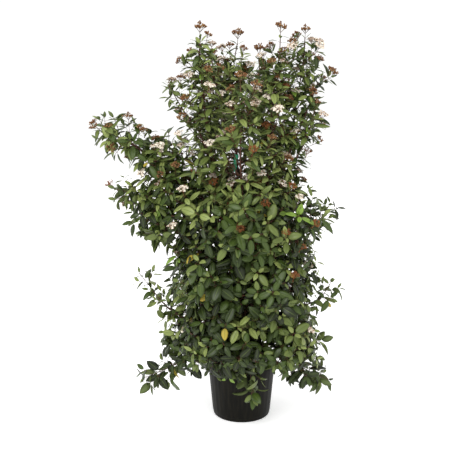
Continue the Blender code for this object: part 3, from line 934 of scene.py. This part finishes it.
# The share of shoots that has each green, from the deepest to the youngest. The body, low in the
# crown, takes the darker greens and the spires and leaders the brighter ones: partly painted shade
# below and painted light above, partly the paler young growth at the top. A part that isn't
# listed has the shares of the body.
GREEN_SHARES = {
    "body": (0.22, 0.30, 0.26, 0.15, 0.05, 0.02),
    "spire": (0.00, 0.03, 0.20, 0.42, 0.33, 0.02),
    "leader": (0.00, 0.03, 0.20, 0.42, 0.33, 0.02),
    "wing": (0.04, 0.14, 0.32, 0.34, 0.14, 0.02),
    "low_wing": (0.04, 0.18, 0.32, 0.32, 0.12, 0.02),
    "spray": (0.04, 0.16, 0.32, 0.32, 0.14, 0.02),
}
BRIGHTEST = 4
YELLOW = 6
YELLOW_SHARE = 0.004

leaves = []


def green_for(shoot):
    """Which green all the leaves of a shoot have."""
    shares = GREEN_SHARES.get(shoot["zone"], GREEN_SHARES["body"])
    return rng.choices(range(len(shares)), shares)[0]


def leaf_pair(shoot, spot, run, side, size, spread, young):
    """Two leaves that face each other across a shoot."""
    length, vary, width, _, droop, to_tip, to_sky, to_out = LEAF_HABIT[shoot["zone"]]
    low = min(1.0, max(0.0, (DROOP_BELOW - spot.z) / DROOP_DEPTH))
    out = outward(spot)
    for way in (side, -side):
        if rng.random() < LEAVES_MISSING:
            continue
        turn = math.radians(spread * rng.uniform(0.88, 1.12))
        ahead = run * math.cos(turn) + way * math.sin(turn) - UP * (droop + 0.12 * low)
        ahead = (ahead + sway(0.10)).normalized()
        face = run * to_tip + UP * (to_sky - 0.25 * low) + out * to_out + sway(0.22)
        face = (face - ahead * face.dot(ahead)).normalized()
        long = length * size * max(0.55, rng.gauss(1.0, vary))
        wide = long * width * rng.uniform(0.88, 1.12)
        tone = shoot["green"] + (1 if young and shoot["green"] < BRIGHTEST else 0)
        tone = YELLOW if rng.random() < YELLOW_SHARE else tone
        leaves.append((*spot, *ahead, *face, long, wide, rng.uniform(*BENDS), rng.uniform(*FOLDS),
                       rng.uniform(*WAVES), rng.uniform(0, math.tau), tone))


def dress(shoot):
    """Hangs leaf pairs on a shoot, from its tip down, each pair a quarter turn from the last."""
    path = shoot["path"]
    steps = [(b - a).length for a, b in zip(path, path[1:])]
    total = sum(steps)
    hint = Vector((rng.uniform(-1, 1), rng.uniform(-1, 1), rng.uniform(-0.4, 0.4)))
    quarter = rng.uniform(0, math.pi)
    for order, mark in enumerate(PAIR_MARKS[shoot["zone"]]):
        mark *= rng.uniform(0.9, 1.1)
        if mark > min(shoot["leafy"], total - 0.008):
            break
        left, i = mark, len(steps)
        while i > 1 and left > steps[i - 1]:
            left -= steps[i - 1]
            i -= 1
        spot = path[i] + (path[i - 1] - path[i]) * min(1.0, left / steps[i - 1])
        run = heading_at(path, i)
        side = (hint - run * hint.dot(run)).normalized()
        turn = quarter + order * math.pi / 2
        side = side * math.cos(turn) + run.cross(side) * math.sin(turn)
        spread = LEAF_HABIT[shoot["zone"]][3] + (-26 if order == 0 else 3 * order)
        leaf_pair(shoot, spot, run, side, PAIR_SIZES[order], spread, order == 0)


for shoot in shoots:
    shoot["green"] = green_for(shoot)
for shoot in shoots:
    if shoot["leafy"] > 0:
        dress(shoot)


def leaf_copies(rows):
    """Bends and places the flat leaf for every row of the table of leaves."""
    spot, ahead, face = (rows[:, None, k:k + 3] for k in (0, 3, 6))
    long, wide, bend, fold, wave, phase = (rows[:, k, None] for k in range(9, 15))
    across = np.cross(face, ahead)
    t, u = np.clip(leaf_t, 0, 1)[None, :], leaf_u[None, :]
    half = wide * 0.5 * outline(t)
    y = u * half * np.cos(fold)
    h = np.abs(u) * half * np.sin(fold) - TROUGH * u * u * half
    ripple = np.sin(WAVES_ALONG * t + phase + 1.5 * (u > 0))
    h = h + WAVE_HEIGHT * wave * half * np.abs(u) * ripple
    h = h + leaf["points"][None, :, 2] * LEAF_THICKNESS
    stalk = LEAF_STALK_SHARE * long
    x = stalk + long * np.sin(bend * t) / bend + h * np.sin(bend * t)
    z = -long * (1 - np.cos(bend * t)) / bend + h * np.cos(bend * t)
    x = np.where(on_stalk, stalk * (leaf_t + 2.0), x)
    y = np.where(on_stalk, leaf["points"][None, :, 1] * LEAF_STALK_RADIUS, y)
    z = np.where(on_stalk, leaf["points"][None, :, 2] * LEAF_STALK_RADIUS, z)
    return spot + x[:, :, None] * ahead + y[:, :, None] * across + z[:, :, None] * face


# Leathery leaf skin: the wax gives a soft gloss. The greens have a place on the plant, so each
# is one plain colour, dealt out by the spray.
def plain_finish(name, colour, rough):
    """A plain plant colour with a soft gloss or none, by its roughness."""
    return finish_named(name, Base_Color=linear(colour), Roughness=rough, IOR=1.45,
                        Specular_IOR_Level=0.30)[0]


LEAF_COLOURS = (("leaf_green_deep", "#1c240d"), ("leaf_green_dark", "#283413"),
                ("leaf_green_mid", "#3a4a1d"), ("leaf_green_soft", "#5d6a35"),
                ("leaf_green_bright", "#7b874a"), ("leaf_green_young", "#74903a"),
                ("leaf_yellow", "#a08f3a"))
leaf_finishes = [plain_finish(name, colour, 0.38) for name, colour in LEAF_COLOURS]
leaf_finishes += [plain_finish("leaf_midrib", "#4f5e2b", 0.5),
                  plain_finish("leaf_underside_grey_green", "#59663a", 0.6),
                  plain_finish("leaf_underside_light", "#6a7743", 0.6),
                  plain_finish("leaf_stalk_red_brown", "#5b3626", 0.55)]
MIDRIB, UNDERSIDE, UNDERSIDE_LIGHT, LEAF_STALK = range(len(LEAF_COLOURS), len(leaf_finishes))

# Each piece of leaves, the heights it spans, and the masses whose place it takes.
ZONES = (
    ("leaves_skirt", 0.0, 0.56, ("skirt", "foot")),
    ("leaves_waist", 0.56, 0.80, ("waist", "side_branch", "right_tip")),
    ("leaves_shoulder", 0.80, 1.03, ("shoulder", "low_wing", "right_sprig")),
    ("leaves_collar", 1.03, 1.25, ("collar", "wing", "right_flank")),
    ("leaves_lower_spires", 1.25, 1.42, ("upper_left", "spire_front")),
    ("leaves_upper_spires", 1.42, math.inf, ("upper_right", "spire")),
)
# Leaves whose tips would be inside the pot, or that would hide the tie from the front, are not
# grown. The front is seen from a little above, which RISE_IN_FRONT allows for.
POT_RADII = (0.131, 0.158)
LEAF_CLEARANCE = 0.004
TIE_VIEW = 0.046
RISE_IN_FRONT = 0.11
rows = np.array(leaves)
tip_ends = rows[:, 0:3] + rows[:, 3:6] * rows[:, 9, None] * 1.1
wall = np.interp(tip_ends[:, 2], (0.0, POT_TOP), POT_RADII) + LEAF_CLEARANCE
in_pot = (np.hypot(tip_ends[:, 0], tip_ends[:, 1]) < wall) & (tip_ends[:, 2] < POT_TOP + 0.006)
centres = rows[:, 0:3] + rows[:, 3:6] * rows[:, 9, None] * 0.55
in_front = tie_spot.y - centres[:, 1]
above_tie = centres[:, 2] - tie_spot.z + 0.025 - RISE_IN_FRONT * in_front
over_tie = ((abs(centres[:, 0] - tie_spot.x) < TIE_VIEW) & (in_front > -0.01)
            & (abs(above_tie) < TIE_VIEW + 0.022))
rows = rows[~in_pot & ~over_tie]
taken = set()
for name, low, high, starts in ZONES:
    part = rows[(rows[:, 2] >= low) & (rows[:, 2] < high)]
    green = part[:, 15].astype(int)
    under = np.where(np.arange(len(part)) % 3 == 0, UNDERSIDE_LIGHT, UNDERSIDE)
    roles = np.stack([green, np.full(len(part), MIDRIB), under, np.full(len(part), LEAF_STALK)],
                     axis=1)
    piece = joined(name, [(leaf_copies(part), leaf, roles[:, leaf["slots"]])], leaf_finishes)
    nodes = [n for n in crown if n not in taken
             and any(n.startswith("foliage_" + s) for s in starts)]
    taken.update(nodes)
    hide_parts(*nodes)


# Flower heads
# Flat-topped heads, 5 to 6 cm wide, of seven rays that fork into about seventy small flowers. Many
# are in rust-brown bud, many half open with creamy white flowers, and some lower ones are spent.
RAYS = 7
FLOWERS_ON_A_RAY = 10
HEAD_SORTS = 4
FORK_HEIGHT = 0.010
RAY_LEANS = (34, 56)
RAY_LENGTHS = (0.013, 0.018)
FLOWER_STALKS = (0.0050, 0.0105)
HEAD_STALK_RADIUS = 0.0011
RAY_RADIUS = 0.0007
FLOWER_STALK_RADIUS = 0.0004
PETAL_SIZE = 0.0026
BUD_SIZE = 0.0023
CALYX_SIZE = 0.0016
OPEN_SHARE = 0.62
BUD_SHARE = 0.72
STALK_SLOT, BUD_SLOT, PINK_SLOT, PETAL_SLOT = range(4)
# Where heads stand, across and up. The nearest shoot tip takes each head.
HEAD_PLACES = {
    "bud": (
        (-0.140, 1.636), (-0.082, 1.632), (0.141, 1.587), (-0.223, 1.595), (-0.261, 1.559),
        (0.133, 1.538), (-0.041, 1.444), (0.026, 1.489), (0.043, 1.440), (0.223, 1.623),
        (0.324, 1.563), (0.350, 1.514), (0.307, 1.374), (0.082, 1.240), (-0.490, 1.324),
        (-0.609, 1.286), (-0.546, 1.286), (-0.441, 1.278), (-0.420, 1.265), (-0.543, 1.219),
        (-0.361, 1.227), (-0.332, 1.189), (0.128, 1.282), (0.183, 1.265),
        (0.120, 1.627), (0.029, 1.615), (-0.295, 1.108), (0.251, 1.219)),
    "open": (
        (-0.033, 1.644), (-0.144, 1.607), (0.083, 1.615), (0.150, 1.559), (-0.074, 1.559),
        (-0.249, 1.510), (-0.295, 1.444), (-0.149, 1.399), (-0.066, 1.477), (-0.083, 1.419),
        (0.043, 1.357), (-0.041, 1.311), (0.089, 1.419), (0.225, 1.514), (0.150, 1.501),
        (0.279, 1.303), (-0.255, 1.265), (-0.142, 1.193), (-0.383, 1.193), (-0.385, 1.091),
        (-0.031, 0.970), (0.186, 1.595), (0.294, 1.599), (0.005, 1.550)),
    "spent": (
        (0.270, 1.142), (0.006, 1.202), (-0.464, 1.180), (-0.412, 1.039), (-0.553, 1.035),
        (-0.263, 0.957), (-0.070, 0.961), (-0.215, 1.087), (-0.113, 1.031), (-0.295, 0.834),
        (0.088, 1.000), (0.187, 1.013), (0.278, 0.900), (0.154, 0.887), (0.016, 0.847),
        (-0.018, 0.878), (0.250, 0.812), (0.056, 0.759), (0.191, 0.669)),
}


def paint(verts, slot):
    """Gives the faces round some vertices their material number."""
    for face in {f for v in verts for f in v.link_faces}:
        face.material_index = slot


def stick(bm, start, end, radius, slot):
    """A three-sided stalk between two points."""
    run = end - start
    turn = run.to_track_quat("Z", "Y").to_matrix().to_4x4()
    to_place = Matrix.Translation((start + end) / 2) @ turn
    made = bmesh.ops.create_cone(bm, cap_ends=False, segments=3, radius1=radius, radius2=radius,
                                 depth=run.length, matrix=to_place)
    paint(made["verts"], slot)


def flower(bm, spot, run, size, slot):
    """A bud, or an open flower of five petals cut from one small disc."""
    turn = run.to_track_quat("Z", "Y").to_matrix().to_4x4()
    if slot != PETAL_SLOT:
        made = bmesh.ops.create_uvsphere(bm, u_segments=5, v_segments=3, radius=size,
                                         matrix=Matrix.Translation(spot) @ turn
                                         @ Matrix.Diagonal((0.8, 0.8, 1.15, 1.0)))
        paint(made["verts"], slot)
        return
    made = bmesh.ops.create_circle(bm, cap_ends=True, cap_tris=True, segments=10, radius=size * 2.0,
                                   matrix=Matrix.Translation(spot) @ turn)
    rim = [v for v in made["verts"] if (v.co - spot).length > size]
    for v in rim[::2]:
        v.co = spot + (v.co - spot) * 0.55
    paint(made["verts"], slot)


def head_template(kind, sort):
    """One flower head, its stalk starting at the origin and its flowers upwards."""
    bm = bmesh.new()
    pick = random.Random(sort * 7 + len(kind))
    fork = Vector((0.0, 0.0, FORK_HEIGHT))
    stick(bm, Vector((0, 0, -0.003)), fork, HEAD_STALK_RADIUS, STALK_SLOT)
    for ray in range(RAYS):
        bearing = math.tau * ray / (RAYS - 1) + pick.uniform(-0.25, 0.25)
        lean = math.radians(pick.uniform(*RAY_LEANS)) if ray else 0.1
        way = Vector((math.cos(bearing) * math.sin(lean), math.sin(bearing) * math.sin(lean),
                      math.cos(lean)))
        end = fork + way * pick.uniform(*RAY_LENGTHS)
        stick(bm, fork, end, RAY_RADIUS, STALK_SLOT)
        for _ in range(FLOWERS_ON_A_RAY):
            spread = Vector((pick.gauss(0, 0.75), pick.gauss(0, 0.75), pick.uniform(0.2, 1.1)))
            run = (way * 0.7 + spread).normalized()
            tip = end + run * pick.uniform(*FLOWER_STALKS)
            stick(bm, end, tip, FLOWER_STALK_RADIUS, STALK_SLOT)
            chance = pick.random()
            if kind == "open" and chance < OPEN_SHARE:
                flower(bm, tip, (run + UP).normalized(), PETAL_SIZE, PETAL_SLOT)
            elif kind == "spent":
                flower(bm, tip, run, CALYX_SIZE, BUD_SLOT)
            else:
                flower(bm, tip, run, BUD_SIZE, PINK_SLOT if chance > BUD_SHARE else BUD_SLOT)
    return template(bm)


def tip_of(shoot):
    """The point where a shoot ends."""
    return shoot["path"][-1]


def gap_to(shoot, x, z):
    """How far a shoot's tip is from a head's place, seen from the front. Tips behind rank lower."""
    tip = tip_of(shoot)
    return math.hypot(tip.x - x, tip.z - z) + 0.15 * max(0.0, tip.y)


# First the heads that have a place, then more by chance: fewer and fewer further down the crown.
HEAD_REACH = 0.06
HEAD_CHANCES = ((1.30, 0.38), (1.02, 0.16), (0.80, 0.06), (0.0, 0.01))
headed = [s for s in shoots if s["leafy"] > 0 and s["zone"] != "leader"
          and (tip_of(s) - tie_spot).xz.length > 0.06]
for kind, places in HEAD_PLACES.items():
    for x, z in places:
        gap, n = min((gap_to(s, x, z), n) for n, s in enumerate(headed) if not s["head"])
        if gap < HEAD_REACH:
            headed[n]["head"] = kind
for shoot in headed:
    chance = rng.random()
    share = next(share for height, share in HEAD_CHANCES if tip_of(shoot).z > height)
    if not shoot["head"] and chance < share:
        shoot["head"] = rng.choices(("bud", "open", "spent"), (0.40, 0.48, 0.12))[0]
for name in STEMS:
    shoots[stem_number[name]]["head"] = "bud"

# Petals, buds and their stalks are matt. Their colours have a place, so each is plain.
HEAD_FINISHES = {
    "bud": (("head_stalk_russet", "#5a4528"), ("bud_rust_brown", "#6c4628"),
            ("bud_dusky_tan", "#94724c")),
    "open": (("head_stalk_red", "#755238"), ("bud_pink_brown", "#8f6a4c"),
             ("bud_pale_pink", "#cbb09a"), ("petal_creamy_white", "#e6ddcd")),
    "spent": (("head_stalk_orange", "#86552f"), ("calyx_orange_brown", "#84502c"),
              ("calyx_tan", "#a37d50")),
}
for kind, colours in HEAD_FINISHES.items():
    finishes = [plain_finish(name, colour, 0.7) for name, colour in colours]
    bearers = [s for s in shoots if s["head"] == kind]
    parts = []
    for sort in range(HEAD_SORTS):
        mine = bearers[sort::HEAD_SORTS]
        turns = []
        for shoot in mine:
            tops_a_leader = shoot["parent"] is None
            run = (heading_at(shoot["path"], len(shoot["path"]) - 1) + UP * 0.8).normalized()
            size = rng.uniform(0.95, 1.25) * (1.15 if tops_a_leader else 1.0)
            dome = np.diag([1.0, 1.0, 1.3 if tops_a_leader else 1.1])
            turns.append(np.array(run.to_track_quat("Z", "Y").to_matrix()) @ dome * size)
        spots = np.array([list(tip_of(s)) for s in mine])
        parts.append(placed(head_template(kind, sort), np.array(turns), spots))
    heads = joined("flower_heads_" + kind, parts, finishes)


# Studio
# A pale seamless floor and soft white light from all round, a little stronger from above and
# in front, with the camera at the height of the upper crown.
WHITE = (1.0, 1.0, 1.0, 1.0)
FLOOR_HALF_WIDTH = 8.0
LAMP_SPOT = Vector((-0.9, -3.2, 3.9))
LAMP_AIM = Vector((0.0, 0.0, 1.0))
CAMERA_SPOT = (-0.070, -3.530, 1.570)
CAMERA_PITCH = 11.35
SENSOR_WIDTH = 36.0
FOCAL_SHARE = 826 / 452

bm = bmesh.new()
bmesh.ops.create_grid(bm, x_segments=1, y_segments=1, size=FLOOR_HALF_WIDTH)
floor = linked("floor", mesh_from(bm, "floor"))
# A matt white sheet with some light behind it, so the plant throws hardly any shade on it.
sheet = finish_named("back_lit_white_sheet", Base_Color=linear("#fcfcfc"), Roughness=0.9,
                     Specular_IOR_Level=0.0, Emission_Color=WHITE, Emission_Strength=0.40)[0]
floor.data.materials.append(sheet)

world = bpy.data.worlds.new("soft_white")
world.use_nodes = True
world.node_tree.nodes["Background"].inputs["Color"].default_value = WHITE
world.node_tree.nodes["Background"].inputs["Strength"].default_value = 1.06
bpy.context.scene.world = world
bpy.context.scene.view_settings.view_transform = "Standard"

lamp_data = bpy.data.lights.new("high_front_light", "AREA")
lamp_data.shape = "DISK"
lamp_data.size = 2.6
lamp_data.energy = 120.0
lamp = linked("high_front_light", lamp_data)
lamp.location = LAMP_SPOT
lamp.rotation_euler = (LAMP_AIM - LAMP_SPOT).to_track_quat("-Z", "Y").to_euler()

camera_data = bpy.data.cameras.new("camera")
camera_data.sensor_width = SENSOR_WIDTH
camera_data.lens = SENSOR_WIDTH * FOCAL_SHARE
camera = linked("camera", camera_data)
camera.location = CAMERA_SPOT
camera.rotation_euler = (math.radians(90 - CAMERA_PITCH), 0.0, 0.0)
bpy.context.scene.camera = camera
